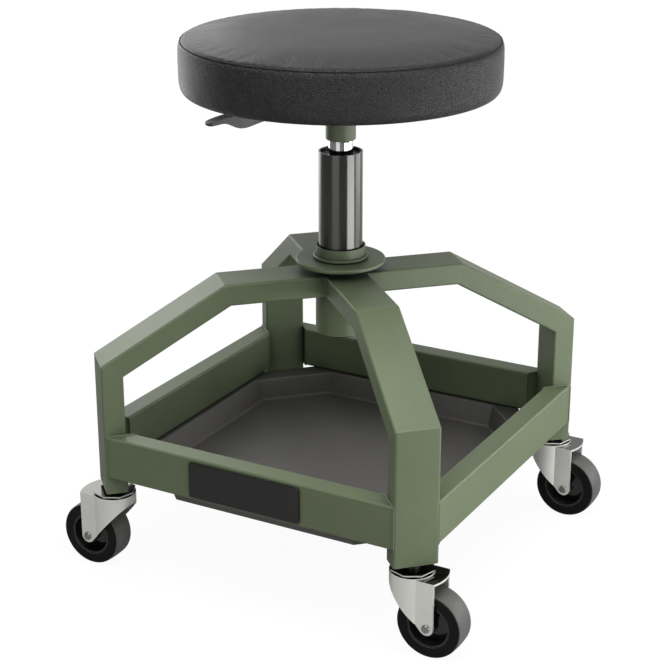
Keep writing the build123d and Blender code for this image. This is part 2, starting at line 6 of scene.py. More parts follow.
import bpy
import numpy as np
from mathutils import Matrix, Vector


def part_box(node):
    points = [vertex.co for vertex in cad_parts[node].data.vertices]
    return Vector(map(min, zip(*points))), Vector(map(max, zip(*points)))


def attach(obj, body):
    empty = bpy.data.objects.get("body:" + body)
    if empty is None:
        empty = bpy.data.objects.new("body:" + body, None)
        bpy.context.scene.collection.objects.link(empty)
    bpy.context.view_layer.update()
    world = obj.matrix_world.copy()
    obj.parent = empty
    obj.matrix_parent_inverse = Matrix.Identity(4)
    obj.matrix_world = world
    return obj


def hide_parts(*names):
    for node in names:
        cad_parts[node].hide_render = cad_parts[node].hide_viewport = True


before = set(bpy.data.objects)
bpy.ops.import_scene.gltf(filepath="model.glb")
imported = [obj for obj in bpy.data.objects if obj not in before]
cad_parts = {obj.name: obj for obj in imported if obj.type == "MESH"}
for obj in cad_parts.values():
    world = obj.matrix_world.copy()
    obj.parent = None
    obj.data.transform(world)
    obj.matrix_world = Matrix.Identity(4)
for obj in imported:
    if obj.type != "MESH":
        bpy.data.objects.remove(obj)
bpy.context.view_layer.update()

# The view: a long lens at the front right of the stool and a little above its seat.
# Its place and lens come from the frame's corners and the wheels in the photograph.
view_place = (0.8986, -1.6414, 0.9639)
view_yaw = 28.98
view_pitch = 20.62
focal_length = 93.4
sensor_width = 36
upright = 90

lens = bpy.data.cameras.new("view")
lens.lens = focal_length
lens.sensor_width = sensor_width
view = bpy.data.objects.new("view", lens)
view.location = view_place
view.rotation_euler = (radians(upright - view_pitch), 0, radians(view_yaw))
bpy.context.scene.collection.objects.link(view)
bpy.context.scene.camera = view
bpy.context.scene.view_settings.view_transform = "Standard"

# The studio: a white room with a pale floor, and seven softboxes. A low strip and a large box
# stand on the right, one at the back right, three round the left, and a broad one overhead.
ahead = (-sin(radians(view_yaw)), cos(radians(view_yaw)), 0)
room_level = 0.2
mirrored_level = 0.1
backdrop_level = 0.7
backdrop_turn = (0.5, 0.95)
floor_half = 4.0
floor_grey = 0.36
floor_white = 1.18
floor_white_far = 1.25
floor_melt = (0.6, 2.0)
white_share = 0.8
mirrored_share = 0.06
mirrored_share_behind = 0.8
floor_behind = (0.3, 1.8)


def fed(tree, socket, given):
    """Link an output into a socket, or write a plain value there."""
    if isinstance(given, bpy.types.NodeSocket):
        tree.links.new(given, socket)
    else:
        socket.default_value = given


def worked(tree, kind, operation, *given):
    """The outputs of a Math or Vector Math node that works on the given inputs."""
    node = tree.nodes.new(kind)
    node.operation = operation
    for socket, value in zip(node.inputs, given):
        fed(tree, socket, value)
    return node.outputs


def ranged(tree, value, low, high, over=(0, 1), kind="LINEAR"):
    """A number that goes from low to high, and no further, while the value crosses a span."""
    span = tree.nodes.new("ShaderNodeMapRange")
    span.interpolation_type = kind
    for name, given in (("Value", value), ("From Min", over[0]), ("From Max", over[1]),
                        ("To Min", low), ("To Max", high)):
        fed(tree, span.inputs[name], given)
    return span.outputs["Result"]


def chosen(tree, share, low, high):
    """The low value where the share is 0, the high one where it is 1."""
    mix = tree.nodes.new("ShaderNodeMix")
    for socket, given in (("Factor", share), (2, low), (3, high)):
        fed(tree, mix.inputs[socket], given)
    return mix.outputs[0]


def seen_directly(tree, mirrored, least):
    """1 where a camera or glass ray arrives, the mirrored value on a glossy one, else the least."""
    path = tree.nodes.new("ShaderNodeLightPath").outputs
    clear = worked(tree, "ShaderNodeMath", "MAXIMUM", path["Is Camera Ray"],
                   path["Is Transmission Ray"])
    return chosen(tree, clear[0], chosen(tree, path["Is Glossy Ray"], least, mirrored), 1)


def behind_stool(tree, place, span, low, high):
    """A number that rises as a place or direction lies further ahead of the camera."""
    along = worked(tree, "ShaderNodeVectorMath", "DOT_PRODUCT", place, ahead)["Value"]
    return ranged(tree, along, low, high, span, "SMOOTHSTEP")


def white_room():
    """White to the eye; in a mirror it is pale behind the stool and dim on the camera's side."""
    world = bpy.data.worlds.new("white_room")
    world.use_nodes = True
    tree = world.node_tree
    direction = tree.nodes.new("ShaderNodeTexCoord").outputs["Generated"]
    mirrored = behind_stool(tree, direction, backdrop_turn, mirrored_level, backdrop_level)
    backdrop = tree.nodes["Background"]
    backdrop.inputs["Color"].default_value = (1, 1, 1, 1)
    fed(tree, backdrop.inputs["Strength"], seen_directly(tree, mirrored, room_level))
    bpy.context.scene.world = world


def floor_paper():
    """Matt grey to the light, but nearly white to the eye, so that it keeps a faint shadow. It is
    whiter far away, where its edge melts into the room, and behind the stool in a mirror."""
    finish = bpy.data.materials.new("studio_floor")
    finish.use_nodes = True
    tree = finish.node_tree
    paper = tree.nodes["Principled BSDF"]
    paper.inputs["Base Color"].default_value = (floor_grey, floor_grey, floor_grey, 1)
    paper.inputs["Roughness"].default_value = 1
    paper.inputs["Specular IOR Level"].default_value = 0
    spot = tree.nodes.new("ShaderNodeTexCoord").outputs["Object"]
    reach = worked(tree, "ShaderNodeVectorMath", "LENGTH", spot)["Value"]
    glow = tree.nodes.new("ShaderNodeEmission")
    melted = ranged(tree, reach, floor_white, floor_white_far, floor_melt)
    fed(tree, glow.inputs["Strength"], melted)
    mirrored = behind_stool(tree, spot, floor_behind, mirrored_share / white_share,
                            mirrored_share_behind / white_share)
    seen = seen_directly(tree, mirrored, 0)
    share = worked(tree, "ShaderNodeMath", "MULTIPLY", seen, white_share)[0]
    mix = tree.nodes.new("ShaderNodeMixShader")
    for socket, given in zip(mix.inputs, (share, paper.outputs[0], glow.outputs[0])):
        fed(tree, socket, given)
    fed(tree, tree.nodes["Material Output"].inputs["Surface"], mix.outputs[0])
    return finish


def pale_floor():
    """A square sheet of the paper, level with the tyres' lowest points."""
    mesh = bpy.data.meshes.new("studio_floor")
    corners = [(x * floor_half, y * floor_half, 0) for x, y in ((-1, -1), (1, -1), (1, 1), (-1, 1))]
    mesh.from_pydata(corners, [], [(0, 1, 2, 3)])
    mesh.materials.append(floor_paper())
    floor = bpy.data.objects.new("studio_floor", mesh)
    bpy.context.scene.collection.objects.link(floor)


def softbox(name, azimuth, distance, height, aim, face, level):
    """Area lamp at an azimuth in degrees and a distance from the stool's axis, turned to face a
    height on it; the level is how bright the box looks from there."""
    lamp = bpy.data.lights.new(name, "AREA")
    lamp.shape = "RECTANGLE"
    lamp.size, lamp.size_y = face
    lamp.energy = level * pi * face[0] * face[1]
    box = bpy.data.objects.new(name, lamp)
    turn = radians(azimuth)
    box.location = (distance * cos(turn), distance * sin(turn), height)
    box.rotation_euler = (Vector((0, 0, aim)) - box.location).to_track_quat("-Z", "Y").to_euler()
    bpy.context.scene.collection.objects.link(box)


white_room()
pale_floor()
softbox("right_strip", -7, 0.95, 0.14, 0.14, (0.68, 0.26), 6.5)
softbox("right_softbox", 3, 1.4, 0.9, 0.4, (1.2, 1.2), 0.7)
softbox("back_right_softbox", 38, 1.3, 0.4, 0.4, (0.8, 0.7), 3.4)
softbox("left_softbox", 160, 1.3, 0.5, 0.5, (0.7, 0.9), 1.45)
softbox("front_left_softbox", -87, 1.1, 0.55, 0.55, (0.7, 0.95), 0.72)
softbox("back_left_softbox", 148, 1.6, 0.95, 0.4, (1.1, 0.8), 1.55)
softbox("overhead_softbox", -60, 0.5, 1.7, 0.2, (1.4, 1.4), 3.9)

# The welded frame: four bent arms, four rails and the hub with its flange, all of steel
# rectangular tube or pipe, shot with one coat of matt olive powder that covers the welds too.
olive = (100, 112, 84)
olive_wear_and_highlight = (128, 138, 112)
peel_per_metre = 620
peel_height = 0.00006
patch_span = (0.32, 0.68)
edge_turn = (0.995, 0.88)
edge_samples = 4
corner_shade_span = (0.25, 0.95)
corner_shade_samples = 8


def linear(red, green, blue):
    """A colour read off a screen, from 0 to 255, as the shader's linear colour."""
    share = np.array((red, green, blue)) / 255
    low = share / 12.92
    high = ((share + 0.055) / 1.055) ** 2.4
    return (*np.where(share <= 0.04045, low, high).tolist(), 1)


def times(colour, share):
    """A linear colour made darker or lighter by a share, and never more than white."""
    return (*np.minimum(np.array(colour[:3]) * share, 1).tolist(), 1)


def shared_effect(name, output, **inputs):
    """Node group with the named inputs and one number coming out; returns it and its two ends.
    An input whose first value is a tuple is a vector."""
    group = bpy.data.node_groups.new(name, "ShaderNodeTree")
    for socket, value in inputs.items():
        kind = "NodeSocketVector" if isinstance(value, tuple) else "NodeSocketFloat"
        label = socket.replace("_", " ")
        made = group.interface.new_socket(label, in_out="INPUT", socket_type=kind)
        made.default_value = value
    group.interface.new_socket(output, in_out="OUTPUT", socket_type="NodeSocketFloat")
    start, end = group.nodes.new("NodeGroupInput"), group.nodes.new("NodeGroupOutput")
    return group, start.outputs, end.inputs


def noise(tree, place, per_metre, **settings):
    """The outputs of a noise pattern with so many bumps to the metre."""
    node = tree.nodes.new("ShaderNodeTexNoise")
    fed(tree, node.inputs["Vector"], place)
    fed(tree, node.inputs["Scale"], per_metre)
    for socket, value in settings.items():
        node.inputs[socket].default_value = value
    return node.outputs


def grain_effect():
    """Height of a fine skin: noise with a bump every so often along the metre."""
    group, start, end = shared_effect("fine_grain", "Height", Place=(0, 0, 0), Per_metre=500)
    fed(group, end["Height"], noise(group, start["Place"], start["Per metre"], Detail=2.5)["Fac"])
    return group


def patch_effect():
    """Soft uneven patches from 0 to 1, for a finish that is nowhere quite the same."""
    group, start, end = shared_effect("uneven_patches", "Mask", Place=(0, 0, 0), Per_metre=20)
    cloudy = noise(group, start["Place"], start["Per metre"], Detail=5, Roughness=0.6)["Fac"]
    fed(group, end["Mask"], ranged(group, cloudy, 0, 1, patch_span))
    return group


def edge_wear_and_highlight_effect():
    """1 along outer edges: how far the rounded normal turns from the flat one, within a width."""
    group, start, end = shared_effect("worn_and_highlit_edge", "Mask", Width=0.001, Share=0.5)
    rounded = group.nodes.new("ShaderNodeBevel")
    rounded.samples = edge_samples
    fed(group, rounded.inputs["Radius"], start["Width"])
    flat = group.nodes.new("ShaderNodeNewGeometry").outputs["Normal"]
    turn = worked(group, "ShaderNodeVectorMath", "DOT_PRODUCT", rounded.outputs["Normal"], flat)
    fed(group, end["Mask"], ranged(group, turn["Value"], 0, start["Share"], edge_turn))
    return group


def corner_shade_effect():
    """1 in the open, falling to 0 deep in a corner: a mask for painted shade, which darkens the
    colour in corners and gaps.
    """
    group, start, end = shared_effect("painted_corner_shade", "Mask", Reach=0.03)
    hollow = group.nodes.new("ShaderNodeAmbientOcclusion")
    hollow.samples = corner_shade_samples
    fed(group, hollow.inputs["Distance"], start["Reach"])
    fed(group, end["Mask"], ranged(group, hollow.outputs["AO"], 0, 1, corner_shade_span))
    return group


def facing_effect():
    """0 to 1 as a face turns square to an axis of the object, looking either way along it."""
    group, start, end = shared_effect("turned_face", "Mask", Axis=(0, 0, 1), Least=0, Most=1)
    normal = group.nodes.new("ShaderNodeTexCoord").outputs["Normal"]
    turned = worked(group, "ShaderNodeVectorMath", "DOT_PRODUCT", normal, start["Axis"])["Value"]
    square = worked(group, "ShaderNodeMath", "ABSOLUTE", turned)[0]
    fed(group, end["Mask"],
        ranged(group, square, 0, 1, (start["Least"], start["Most"]), "SMOOTHSTEP"))
    return group


fine_grain = grain_effect()
uneven_patches = patch_effect()
worn_and_highlit_edge = edge_wear_and_highlight_effect()
painted_corner_shade = corner_shade_effect()
turned_face = facing_effect()


def effect_node(tree, group, place=None, **values):
    """One of the shared groups, placed in a material with its own values."""
    node = tree.nodes.new("ShaderNodeGroup")
    node.node_tree = group
    for socket, value in values.items():
        node.inputs[socket.replace("_", " ")].default_value = value
    if place is not None:
        tree.links.new(place, node.inputs["Place"])
    return node.outputs[0]


def blended(tree, mask, low, high):
    """A colour that goes from low to high with a mask; either may be a colour or a socket."""
    mix = tree.nodes.new("ShaderNodeMix")
    mix.data_type = "RGBA"
    for socket, given in (("Factor", mask), (6, low), (7, high)):
        fed(tree, mix.inputs[socket], given)
    return mix.outputs[2]


def bumped(tree, height, metres, under=None):
    """A normal pushed about by a height from 0 to 1 that stands for so many metres."""
    bump = tree.nodes.new("ShaderNodeBump")
    bump.inputs["Distance"].default_value = metres
    tree.links.new(height, bump.inputs["Height"])
    if under is not None:
        tree.links.new(under, bump.inputs["Normal"])
    return bump.outputs["Normal"]


def object_place(tree, stretch=(1, 1, 1)):
    """Object coordinates, stretched along an axis where the grain runs that way."""
    place = tree.nodes.new("ShaderNodeTexCoord").outputs["Object"]
    scale = tree.nodes.new("ShaderNodeMapping")
    scale.inputs["Scale"].default_value = stretch
    tree.links.new(place, scale.inputs["Vector"])
    return scale.outputs["Vector"]


def finish_of(name, colour, roughness, grain, patches, metallic=0, coat=0, specular=0.5,
              wear_and_highlight=None, corners=None, stretch=(1, 1, 1)):
    """Finish with the shared effects: grain and patches are (per metre, height or share);
    the edge colour is (width in metres, screen colour, share), edges painted lighter, partly wear
    and partly painted highlight; corners is (reach in metres, share left), painted shade in
    corners."""
    material = bpy.data.materials.new(name)
    material.use_nodes = True
    tree = material.node_tree
    shader = tree.nodes["Principled BSDF"].inputs
    place = object_place(tree, stretch)
    base = linear(*colour)
    patch_rate, share = patches
    mask = effect_node(tree, uneven_patches, place, Per_metre=patch_rate)
    tint = blended(tree, mask, times(base, 1 - share), times(base, 1 + share))
    # Edges turn lighter: partly wear, partly painted highlight.
    if wear_and_highlight:
        width, wear_and_highlight_colour, wear_and_highlight_share = wear_and_highlight
        edge = effect_node(tree, worn_and_highlit_edge, Width=width, Share=wear_and_highlight_share)
        tint = blended(tree, edge, tint, linear(*wear_and_highlight_colour))
    # Painted shade: deep in corners the colour falls to a darker copy of the base.
    if corners:
        reach, share_left_in_shade = corners
        out_of_shade = effect_node(tree, painted_corner_shade, Reach=reach)
        tint = blended(tree, out_of_shade, times(base, share_left_in_shade), tint)
    fed(tree, shader["Base Color"], tint)
    rough = ranged(tree, mask, roughness * (1 - share), roughness * (1 + share))
    fed(tree, shader["Roughness"], rough)
    grain_rate, grain_height = grain
    height = effect_node(tree, fine_grain, place, Per_metre=grain_rate)
    fed(tree, shader["Normal"], bumped(tree, height, grain_height))
    shader["Metallic"].default_value = metallic
    shader["Coat Weight"].default_value = coat
    shader["Coat Roughness"].default_value = roughness / 2
    shader["Specular IOR Level"].default_value = specular
    return material


def dress(material, *starts):
    """Give a finish to every CAD node whose name starts with one of these words."""
    for name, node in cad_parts.items():
        if name.startswith(starts):
            for spot in node.material_slots:
                spot.material = material


# The powder is painted darker in corners and gaps, as painted shade, and lighter along its edges,
# partly wear and partly painted highlight.
olive_powder = finish_of("olive_powder", olive, 0.46, (peel_per_metre, peel_height), (14, 0.07),
                         wear_and_highlight=(0.0016, olive_wear_and_highlight, 0.45), corners=(0.03, 0.3))
dress(olive_powder, "top_bar", "brace", "post", "rail", "hub_tube", "flange_plate", "seat_socket",
      "caster_sockets")

# Weld beads where the rails meet the posts and where the arms meet the hub: laid by hand in
# overlapping ripples, then powder coated with the rest.
bead_radius = 0.0012
bead_sides = 10
ripple_pitch = 0.0022
ripple_share = 0.10
blunt_power = 8
tube_corner = 0.0025
tube_corner_steps = 9
loop_steps = 220
hub_ring_steps = 260
upright_steps = 41
bar_half_width = 0.025
collar_bead = 0.0022
collar_bead_out = 0.001


def closed_grid(x, y, z):
    """Vertices and quads of a surface whose rows and columns both come back to their start."""
    rows, columns = x.shape
    places = np.stack([x, y, z], axis=-1).reshape(-1, 3)
    index = np.arange(rows * columns).reshape(rows, columns)
    along = np.roll(index, -1, axis=0)
    corners = [index, along, np.roll(along, -1, axis=1), np.roll(index, -1, axis=1)]
    return places, np.stack(corners, axis=-1).reshape(-1, 4)


def turned_shell(radius, height, around):
    """A profile turned about Z, closed by a point at each end of the axis."""
    turn = np.arange(around) * 2 * pi / around
    x, y = np.outer(radius[1:-1], np.cos(turn)), np.outer(radius[1:-1], np.sin(turn))
    rings = np.stack([x, y, np.outer(height[1:-1], np.ones(around))], axis=-1).reshape(-1, 3)
    places = np.vstack([rings, [[0, 0, height[0]], [0, 0, height[-1]]]])
    index = np.arange(len(rings)).reshape(-1, around)
    step = np.roll(index, -1, axis=1)
    quads = np.stack([index[:-1], index[1:], step[1:], step[:-1]], axis=-1).reshape(-1, 4)
    first, last = len(rings), len(rings) + 1
    caps = [(first, a, b) for a, b in zip(index[0], step[0])]
    caps += [(last, b, a) for a, b in zip(index[-1], step[-1])]
    return places, quads.tolist() + caps


def joined(shells):
    """Several meshes as one: the faces of each count on from the vertices before it."""
    places, faces, start = [], [], 0
    for spots, quads in shells:
        places.append(spots)
        faces += [tuple(int(v) + start for v in face) for face in quads]
        start += len(spots)
    return np.vstack(places), faces


def facing_out(mesh):
    """Turn a closed mesh right side out: its signed volume must come out above zero."""
    mesh.calc_loop_triangles()
    corners = np.empty(len(mesh.loop_triangles) * 3, dtype=np.int32)
    mesh.loop_triangles.foreach_get("vertices", corners)
    places = np.empty(len(mesh.vertices) * 3)
    mesh.vertices.foreach_get("co", places)
    a, b, c = np.moveaxis(places.reshape(-1, 3)[corners.reshape(-1, 3)], 1, 0)
    if np.einsum("ij,ij->i", a, np.cross(b, c)).sum() < 0:
        mesh.flip_normals()


def new_piece(name, shell, material, body):
    """A smooth mesh piece that rides on a body and takes its finish from one of the slots."""
    mesh = bpy.data.meshes.new(name)
    places, faces = shell
    mesh.from_pydata(places.tolist(), [], [tuple(int(v) for v in face) for face in faces])
    mesh.materials.append(material)
    mesh.polygons.foreach_set("use_smooth", [True] * len(mesh.polygons))
    made = bpy.data.objects.new(name, mesh)
    bpy.context.scene.collection.objects.link(made)
    facing_out(mesh)
    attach(made, body)
    return made


def rounded_loop(width, height, corner, steps):
    """Evenly spaced points round a rectangle whose corners are arcs, as two arrays."""
    half_width, half_height = width / 2 - corner, height / 2 - corner
    turn = np.linspace(0, pi / 2, tube_corner_steps)
    across, up = [], []
    for quarter, (side, level) in enumerate([(1, 1), (-1, 1), (-1, -1), (1, -1)]):
        across.append(side * half_width + corner * np.cos(turn + quarter * pi / 2))
        up.append(level * half_height + corner * np.sin(turn + quarter * pi / 2))
    across = np.append(np.concatenate(across), across[0][0])
    up = np.append(np.concatenate(up), up[0][0])
    run = np.append(0, np.cumsum(np.hypot(np.diff(across), np.diff(up))))
    places = np.linspace(0, run[-1], steps, endpoint=False)
    return np.interp(places, run, across), np.interp(places, run, up)


def bead_along(path, radius, pitch):
    """A round bead on a closed path, a (steps, 3) array: its radius swells once every pitch.
    Each ring lies square to the path, drawn from the way out from its middle and the way aside."""
    forward = np.roll(path, -1, axis=0) - np.roll(path, 1, axis=0)
    forward /= np.linalg.norm(forward, axis=1, keepdims=True)
    out = path - path.mean(axis=0)
    out -= forward * np.einsum("ij,ij->i", out, forward)[:, None]
    out /= np.linalg.norm(out, axis=1, keepdims=True)
    side = np.cross(forward, out)
    run = np.cumsum(np.linalg.norm(np.roll(path, -1, axis=0) - path, axis=1))
    ripples = round(run[-1] / pitch)
    wave = np.abs(np.sin(pi * ripples * run / run[-1]))
    swell = radius * (1 + ripple_share * wave - ripple_share)
    turn = (np.arange(bead_sides) * 2 * pi / bead_sides)[None, :, None]
    ring = np.cos(turn) * out[:, None, :] + np.sin(turn) * side[:, None, :]
    return closed_grid(*np.moveaxis(path[:, None, :] + swell[:, None, None] * ring, -1, 0))


def turned_about_axis(x, y, turn):
    """Two arrays of places turned about the stool's upright axis."""
    return x * cos(turn) - y * sin(turn), x * sin(turn) + y * cos(turn)


def rail_end_bead(turn, side):
    """The bead round one end of a rail, on the slanted plane where it meets the post."""
    low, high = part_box("rail_front")
    depth, height = high.y - low.y, high.z - low.z
    back, up = rounded_loop(depth, height, tube_corner, loop_steps)
    y = (low.y + high.y) / 2 + back
    x = side * (high.x + low.y - y)
    z = (low.z + high.z) / 2 + up
    path = np.stack([*turned_about_axis(x, y, turn), z], axis=1)
    return bead_along(path, bead_radius, ripple_pitch)


def ring_path(radius, height, steps):
    """Evenly spaced places on a level circle about the stool's upright axis."""
    turn = np.arange(steps) * 2 * pi / steps
    return np.stack([radius * np.cos(turn), radius * np.sin(turn), np.full(steps, height)], axis=1)


def blunt(along):
    """A rod's share of its full radius, from -1 to 1 along it: rounded off at both ends."""
    return np.sqrt(np.maximum(1 - along ** blunt_power, 0))


def upright_bead(x, y, low, high):
    """A short straight bead standing on its end, rounded off at both ends."""
    along = np.linspace(-1, 1, upright_steps)
    phase = along * (high - low) * pi / (2 * ripple_pitch)
    radius = bead_radius * blunt(along) * (1 - ripple_share * np.abs(np.cos(phase)))
    places, faces = turned_shell(radius, low + (along + 1) * (high - low) / 2, bead_sides)
    return places + np.array([x, y, 0]), faces


quarters = [quarter * pi / 2 for quarter in range(4)]
rail_beads = joined([rail_end_bead(turn, side) for turn in quarters for side in (-1, 1)])
new_piece("rail_welds", rail_beads, olive_powder, "frame")

hub_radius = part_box("hub_tube")[1].x
flange_low, flange_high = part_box("flange_plate")
bar_low, bar_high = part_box("top_bar_front_right")
between_bars = bar_half_width * 2 ** 0.5
hub_rings = ((0, bar_low.z, bead_radius), (0, flange_low.z, bead_radius),
             (collar_bead_out, flange_high.z + collar_bead, collar_bead))
hub_beads = [bead_along(ring_path(hub_radius + out, height, hub_ring_steps), radius, ripple_pitch)
             for out, height, radius in hub_rings]
hub_beads += [upright_bead(between_bars * cos(turn), between_bars * sin(turn),
                           bar_low.z, bar_high.z) for turn in quarters]
new_piece("hub_welds", joined(hub_beads), olive_powder, "frame")

# The parts tray: vacuum formed from dark grey plastic sheet with a fine stipple, screwed up
# under the rails, and the bare satin black nameplate bonded to the front rail.
# The tray is painted near black deep in its corners and under the rails, as painted shade; both
# finishes are painted lighter along their edges, partly wear and partly painted highlight.
tray_plastic = finish_of("tray_plastic", (102, 100, 97), 0.5, (1500, 0.00006), (18, 0.10),
                         wear_and_highlight=(0.002, (122, 120, 116), 0.35), corners=(0.11, 0.06))
plate_black = finish_of("plate_black", (28, 28, 27), 0.34, (2200, 0.00001), (30, 0.08),
                        wear_and_highlight=(0.0008, (70, 70, 68), 0.5))
dress(tray_plastic, "tray")
dress(plate_black, "nameplate")

# The gas lift: outer tube in gloss black enamel, plastic guide sleeve in its mouth, and a hard
# chromed spindle, ground round and round, that carries the seat. Enamel and chrome both mirror
# the room in stripes, so the enamel is drawn as a dark metal with its gloss pulled upright.
enamel_stretch = 0.9
enamel_turn = 0.25
lift_black = finish_of("lift_black", (96, 96, 94), 0.22, (40, 0.00002), (12, 0.10), metallic=1)
enamel = lift_black.node_tree.nodes["Principled BSDF"]
enamel.inputs["Anisotropic"].default_value = enamel_stretch
enamel.inputs["Anisotropic Rotation"].default_value = enamel_turn
sleeve_plastic = finish_of("sleeve_plastic", (30, 30, 29), 0.42, (1800, 0.00001), (40, 0.10))
spindle_chrome = finish_of("spindle_chrome", (214, 214, 216), 0.07, (900, 0.000002), (30, 0.08),
                           metallic=1, stretch=(0.1, 0.1, 1))
zinc_steel = finish_of("zinc_steel", (158, 158, 156), 0.28, (1600, 0.000008), (90, 0.10),
                       metallic=1)
bearing_steel = finish_of("bearing_steel", (190, 191, 194), 0.12, (1200, 0.000002), (60, 0.08),
                          metallic=1)
bump_rubber = finish_of("bump_rubber", (28, 28, 28), 0.7, (1400, 0.00004), (60, 0.12))
dress(lift_black, "lift_tube")
dress(sleeve_plastic, "guide_sleeve", "piston")
dress(spindle_chrome, "spindle", "piston_rod")
dress(zinc_steel, "tray_screws", "retaining_clip", "release_button", "plate_screws", "lever_pin",
      "axle")
dress(bearing_steel, "thrust_bearing", "swivel_balls")
dress(bump_rubber, "bump_stop")

# The seat's steelwork: pressed plate, lever bracket and lever in black enamel, with edges painted
# lighter, partly wear and partly painted highlight, and the lever's moulded grip of smooth dark
# plastic, painted pale grey where it faces up or down, as a painted highlight.
grip_painted_highlight = (190, 190, 185)
grip_turn = (0.4, 0.85)
upward = (0, 0, 1)


def recoloured(material, axis, turn, colour):
    """Blend another screen colour in where faces turn square to an axis; returns that mask."""
    tree = material.node_tree
    base = tree.nodes["Principled BSDF"].inputs["Base Color"]
    mask = effect_node(tree, turned_face, Axis=axis, Least=turn[0], Most=turn[1])
    fed(tree, base, blended(tree, mask, base.links[0].from_socket, linear(*colour)))
    return mask


mechanism_black = finish_of("mechanism_black", (34, 34, 34), 0.36, (700, 0.00003), (40, 0.12),
                            wear_and_highlight=(0.001, (96, 96, 97), 0.4))
grip_plastic = finish_of("grip_plastic", (52, 52, 52), 0.34, (1800, 0.000006), (50, 0.10))
# Painted highlight: the grip's faces that look up or down are coloured pale grey.
recoloured(grip_plastic, upward, grip_turn, grip_painted_highlight)
dress(mechanism_black, "seat_plate", "lever")
dress(grip_plastic, "lever_grip")

# The seat board: plywood stained dark, with its plies showing at the rim and its face grain
# running along X.
ply_thickness = 0.0015
ply_share = 0.35
ply_wander = 0.4
board_face = (84, 72, 58)
board_grain = (62, 52, 40)
board_roughness = 0.7
streak_stretch = (4, 60, 60)
streaks_per_metre = 4
streak_height = 0.0002


def stained_plywood():
    """Long streaks of grain over dark bands that lie a ply apart up the board's rim."""
    material = bpy.data.materials.new("stained_plywood")
    material.use_nodes = True
    tree = material.node_tree
    shader = tree.nodes["Principled BSDF"].inputs
    place = object_place(tree, streak_stretch)
    streaks = effect_node(tree, fine_grain, place, Per_metre=streaks_per_metre)
    plies = tree.nodes.new("ShaderNodeTexWave")
    plies.bands_direction = "Z"
    plies.inputs["Scale"].default_value = pi / (10 * ply_thickness)
    plies.inputs["Distortion"].default_value = ply_wander
    fed(tree, plies.inputs["Vector"], tree.nodes.new("ShaderNodeTexCoord").outputs["Object"])
    face = blended(tree, streaks, linear(*board_face), linear(*board_grain))
    banded = ranged(tree, plies.outputs["Fac"], 0, ply_share)
    fed(tree, shader["Base Color"], blended(tree, banded, face, linear(*board_grain)))
    shader["Roughness"].default_value = board_roughness
    fed(tree, shader["Normal"], bumped(tree, streaks, streak_height))
    return material


dress(stained_plywood(), "seat_board")

# The cushion: moulded foam in black grained vinyl, a crowned top panel sewn to a side band.
# The foam pushes both panels out between the seam and the stapled lower edge.
seam_radius = 0.1762
seam_height = 0.6026
seam_hold = 0.0030
seam_pull = 0.0010
seam_pull_reach = 0.0028
foot_height = 0.5495
swell_steps = 20
swell_cap = 0.0025
swell_pressure = 4
skin_mass = 0.25
skin_stiffness = 12
skin_bending = 2
cloth_quality = 5
voxel = 0.0036
cushion_around = 200
# Reach from the axis and height, from the middle of the top round to the middle of the foot.
cushion_profile = np.array([
    (0, 0.6128), (0.040, 0.6125), (0.080, 0.6117), (0.115, 0.6105), (0.142, 0.6091),
    (0.158, 0.6079), (0.1680, 0.6065), (0.1735, 0.6048), (0.1762, 0.6026), (0.1773, 0.6006),
    (0.1778, 0.5980), (0.1781, 0.5900), (0.1781, 0.5760), (0.1780, 0.5640), (0.1777, 0.5570),
    (0.1769, 0.5518), (0.1748, 0.5480), (0.1712, 0.5462), (0.1650, 0.5461), (0.1605, 0.5473),
    (0.1560, 0.5478), (0.120, 0.5478), (0.060, 0.5478), (0, 0.5478)])
vinyl_black = (42, 42, 42)
vinyl_worn = (61, 61, 60)
vinyl_roughness = (0.34, 0.4)
vinyl_specular = 0.3
vinyl_patches = 22
vinyl_skin = (1500, 0.00004)
cells_per_metre = 500
cell_wander_per_metre = 260
cell_wander = 0.0022
crease_width = 0.28
crease_shade = 0.6
crease_depth = 0.0004
crease_left_on_top = 0.35
top_turn = (0.97, 0.995)


def grained_vinyl():
    """Leather grain: cells of two millimetres parted by fine creases, bent about by noise, and
    stretched flatter on the crowned top than on the side."""
    material = bpy.data.materials.new("grained_vinyl")
    material.use_nodes = True
    tree = material.node_tree
    shader = tree.nodes["Principled BSDF"].inputs
    place = object_place(tree)
    wander = noise(tree, place, cell_wander_per_metre, Detail=2)["Color"]
    shift = worked(tree, "ShaderNodeVectorMath", "MULTIPLY_ADD", wander, (cell_wander,) * 3, place)
    cells = tree.nodes.new("ShaderNodeTexVoronoi")
    cells.feature = "DISTANCE_TO_EDGE"
    cells.inputs["Scale"].default_value = cells_per_metre
    fed(tree, cells.inputs["Vector"], shift["Vector"])
    crease = ranged(tree, cells.outputs["Distance"], 0, 1, (0, crease_width), "SMOOTHSTEP")
    patches = effect_node(tree, uneven_patches, place, Per_metre=vinyl_patches)
    skin_rate, skin_height = vinyl_skin
    fine = effect_node(tree, fine_grain, place, Per_metre=skin_rate)
    black = linear(*vinyl_black)
    tint = blended(tree, patches, black, linear(*vinyl_worn))
    fed(tree, shader["Base Color"], blended(tree, crease, times(black, crease_shade), tint))
    fed(tree, shader["Roughness"], ranged(tree, patches, *vinyl_roughness))
    skin = bumped(tree, fine, skin_height)
    level = effect_node(tree, turned_face, Axis=upward, Least=top_turn[0], Most=top_turn[1])
    depth = worked(tree, "ShaderNodeMath", "MULTIPLY", crease,
                   ranged(tree, level, 1, crease_left_on_top))
    fed(tree, shader["Normal"], bumped(tree, depth[0], crease_depth, skin))
    shader["Specular IOR Level"].default_value = vinyl_specular
    return material


def from_seam(spots):
    """How far each place is from the axis, and how far from the seam's circle."""
    out = np.hypot(spots[:, 0], spots[:, 1])
    return out, np.hypot(out - seam_radius, spots[:, 2] - seam_height)


